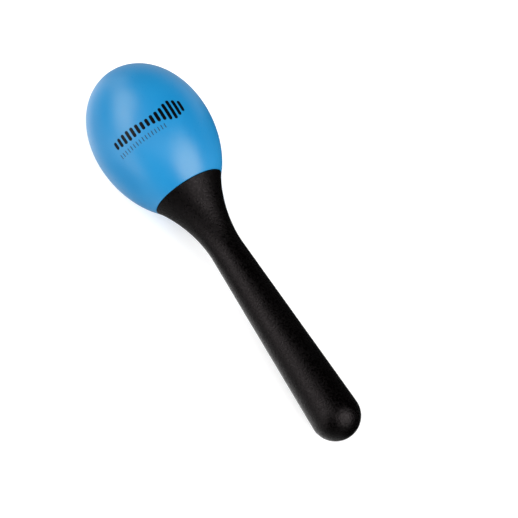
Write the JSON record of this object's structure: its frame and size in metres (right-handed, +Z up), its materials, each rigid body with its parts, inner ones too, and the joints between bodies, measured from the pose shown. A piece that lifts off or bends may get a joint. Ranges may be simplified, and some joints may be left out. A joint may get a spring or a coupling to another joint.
{
  "type": "egg shaker",
  "caption": "Hand shaker: a hollow egg head with loose shot inside, on a flared, tapering handle with a round butt.",
  "frame": {"origin": "on the table it lies on, half way between the crown of the head and the butt of the handle", "axes": "+Z up from the table; +X along the table from the butt towards the head; the printed side of the head is up, turned a little towards +Y"},
  "size_m": [0.2004, 0.055, 0.0553],
  "materials": {
    "head_plastic": "satin moulded",
    "handle_plastic": "fine spark-eroded grain",
    "plug_plastic": "natural moulded",
    "shot_steel": "tumbled"
  },
  "bodies": {
    "shaker": {"head_shell": "head_plastic", "neck_plug": "plug_plastic", "handle_front": "handle_plastic", "handle_back": "handle_plastic"},
    "shot_01": {"shot_01": "shot_steel"},
    "shot_02": {"shot_02": "shot_steel"},
    "shot_03": {"shot_03": "shot_steel"},
    "shot_04": {"shot_04": "shot_steel"},
    "shot_05": {"shot_05": "shot_steel"},
    "shot_06": {"shot_06": "shot_steel"},
    "shot_07": {"shot_07": "shot_steel"},
    "shot_08": {"shot_08": "shot_steel"},
    "shot_09": {"shot_09": "shot_steel"},
    "shot_10": {"shot_10": "shot_steel"},
    "shot_11": {"shot_11": "shot_steel"},
    "shot_12": {"shot_12": "shot_steel"},
    "shot_13": {"shot_13": "shot_steel"},
    "shot_14": {"shot_14": "shot_steel"},
    "shot_15": {"shot_15": "shot_steel"},
    "shot_16": {"shot_16": "shot_steel"},
    "shot_17": {"shot_17": "shot_steel"},
    "shot_18": {"shot_18": "shot_steel"},
    "shot_19": {"shot_19": "shot_steel"},
    "shot_20": {"shot_20": "shot_steel"},
    "shot_21": {"shot_21": "shot_steel"},
    "shot_22": {"shot_22": "shot_steel"},
    "shot_23": {"shot_23": "shot_steel"},
    "shot_24": {"shot_24": "shot_steel"},
    "shot_25": {"shot_25": "shot_steel"},
    "shot_26": {"shot_26": "shot_steel"},
    "shot_27": {"shot_27": "shot_steel"},
    "shot_28": {"shot_28": "shot_steel"},
    "shot_29": {"shot_29": "shot_steel"},
    "shot_30": {"shot_30": "shot_steel"},
    "shot_31": {"shot_31": "shot_steel"},
    "shot_32": {"shot_32": "shot_steel"},
    "shot_33": {"shot_33": "shot_steel"},
    "shot_34": {"shot_34": "shot_steel"},
    "shot_35": {"shot_35": "shot_steel"},
    "shot_36": {"shot_36": "shot_steel"},
    "shot_37": {"shot_37": "shot_steel"}
  },
  "joints": [
    {"name": "shot_01_hop", "type": "slide", "parent": "shaker", "child": "shot_01", "axis": [0, 0, 1], "range_m": [0, 0.03937]},
    {"name": "shot_02_hop", "type": "slide", "parent": "shaker", "child": "shot_02", "axis": [0, 0, 1], "range_m": [0, 0.04085]},
    {"name": "shot_03_hop", "type": "slide", "parent": "shaker", "child": "shot_03", "axis": [0, 0, 1], "range_m": [0, 0.0414]},
    {"name": "shot_04_hop", "type": "slide", "parent": "shaker", "child": "shot_04", "axis": [0, 0, 1], "range_m": [0, 0.04102]},
    {"name": "shot_05_hop", "type": "slide", "parent": "shaker", "child": "shot_05", "axis": [0, 0, 1], "range_m": [0, 0.04191]},
    {"name": "shot_06_hop", "type": "slide", "parent": "shaker", "child": "shot_06", "axis": [0, 0, 1], "range_m": [0, 0.04371]},
    {"name": "shot_07_hop", "type": "slide", "parent": "shaker", "child": "shot_07", "axis": [0, 0, 1], "range_m": [0, 0.04464]},
    {"name": "shot_08_hop", "type": "slide", "parent": "shaker", "child": "shot_08", "axis": [0, 0, 1], "range_m": [0, 0.04473]},
    {"name": "shot_09_hop", "type": "slide", "parent": "shaker", "child": "shot_09", "axis": [0, 0, 1], "range_m": [0, 0.04392]},
    {"name": "shot_10_hop", "type": "slide", "parent": "shaker", "child": "shot_10", "axis": [0, 0, 1], "range_m": [0, 0.04276]},
    {"name": "shot_11_hop", "type": "slide", "parent": "shaker", "child": "shot_11", "axis": [0, 0, 1], "range_m": [0, 0.04492]},
    {"name": "shot_12_hop", "type": "slide", "parent": "shaker", "child": "shot_12", "axis": [0, 0, 1], "range_m": [0, 0.04622]},
    {"name": "shot_13_hop", "type": "slide", "parent": "shaker", "child": "shot_13", "axis": [0, 0, 1], "range_m": [0, 0.04671]},
    {"name": "shot_14_hop", "type": "slide", "parent": "shaker", "child": "shot_14", "axis": [0, 0, 1], "range_m": [0, 0.04637]},
    {"name": "shot_15_hop", "type": "slide", "parent": "shaker", "child": "shot_15", "axis": [0, 0, 1], "range_m": [0, 0.04514]},
    {"name": "shot_16_hop", "type": "slide", "parent": "shaker", "child": "shot_16", "axis": [0, 0, 1], "range_m": [0, 0.04204]},
    {"name": "shot_17_hop", "type": "slide", "parent": "shaker", "child": "shot_17", "axis": [0, 0, 1], "range_m": [0, 0.04461]},
    {"name": "shot_18_hop", "type": "slide", "parent": "shaker", "child": "shot_18", "axis": [0, 0, 1], "range_m": [0, 0.04631]},
    {"name": "shot_19_hop", "type": "slide", "parent": "shaker", "child": "shot_19", "axis": [0, 0, 1], "range_m": [0, 0.04719]},
    {"name": "shot_20_hop", "type": "slide", "parent": "shaker", "child": "shot_20", "axis": [0, 0, 1], "range_m": [0, 0.04726]},
    {"name": "shot_21_hop", "type": "slide", "parent": "shaker", "child": "shot_21", "axis": [0, 0, 1], "range_m": [0, 0.0465]},
    {"name": "shot_22_hop", "type": "slide", "parent": "shaker", "child": "shot_22", "axis": [0, 0, 1], "range_m": [0, 0.04481]},
    {"name": "shot_23_hop", "type": "slide", "parent": "shaker", "child": "shot_23", "axis": [0, 0, 1], "range_m": [0, 0.04276]},
    {"name": "shot_24_hop", "type": "slide", "parent": "shaker", "child": "shot_24", "axis": [0, 0, 1], "range_m": [0, 0.04492]},
    {"name": "shot_25_hop", "type": "slide", "parent": "shaker", "child": "shot_25", "axis": [0, 0, 1], "range_m": [0, 0.04622]},
    {"name": "shot_26_hop", "type": "slide", "parent": "shaker", "child": "shot_26", "axis": [0, 0, 1], "range_m": [0, 0.04671]},
    {"name": "shot_27_hop", "type": "slide", "parent": "shaker", "child": "shot_27", "axis": [0, 0, 1], "range_m": [0, 0.04637]},
    {"name": "shot_28_hop", "type": "slide", "parent": "shaker", "child": "shot_28", "axis": [0, 0, 1], "range_m": [0, 0.04514]},
    {"name": "shot_29_hop", "type": "slide", "parent": "shaker", "child": "shot_29", "axis": [0, 0, 1], "range_m": [0, 0.04191]},
    {"name": "shot_30_hop", "type": "slide", "parent": "shaker", "child": "shot_30", "axis": [0, 0, 1], "range_m": [0, 0.04371]},
    {"name": "shot_31_hop", "type": "slide", "parent": "shaker", "child": "shot_31", "axis": [0, 0, 1], "range_m": [0, 0.04464]},
    {"name": "shot_32_hop", "type": "slide", "parent": "shaker", "child": "shot_32", "axis": [0, 0, 1], "range_m": [0, 0.04473]},
    {"name": "shot_33_hop", "type": "slide", "parent": "shaker", "child": "shot_33", "axis": [0, 0, 1], "range_m": [0, 0.04392]},
    {"name": "shot_34_hop", "type": "slide", "parent": "shaker", "child": "shot_34", "axis": [0, 0, 1], "range_m": [0, 0.03937]},
    {"name": "shot_35_hop", "type": "slide", "parent": "shaker", "child": "shot_35", "axis": [0, 0, 1], "range_m": [0, 0.04085]},
    {"name": "shot_36_hop", "type": "slide", "parent": "shaker", "child": "shot_36", "axis": [0, 0, 1], "range_m": [0, 0.0414]},
    {"name": "shot_37_hop", "type": "slide", "parent": "shaker", "child": "shot_37", "axis": [0, 0, 1], "range_m": [0, 0.04102]}
  ]
}
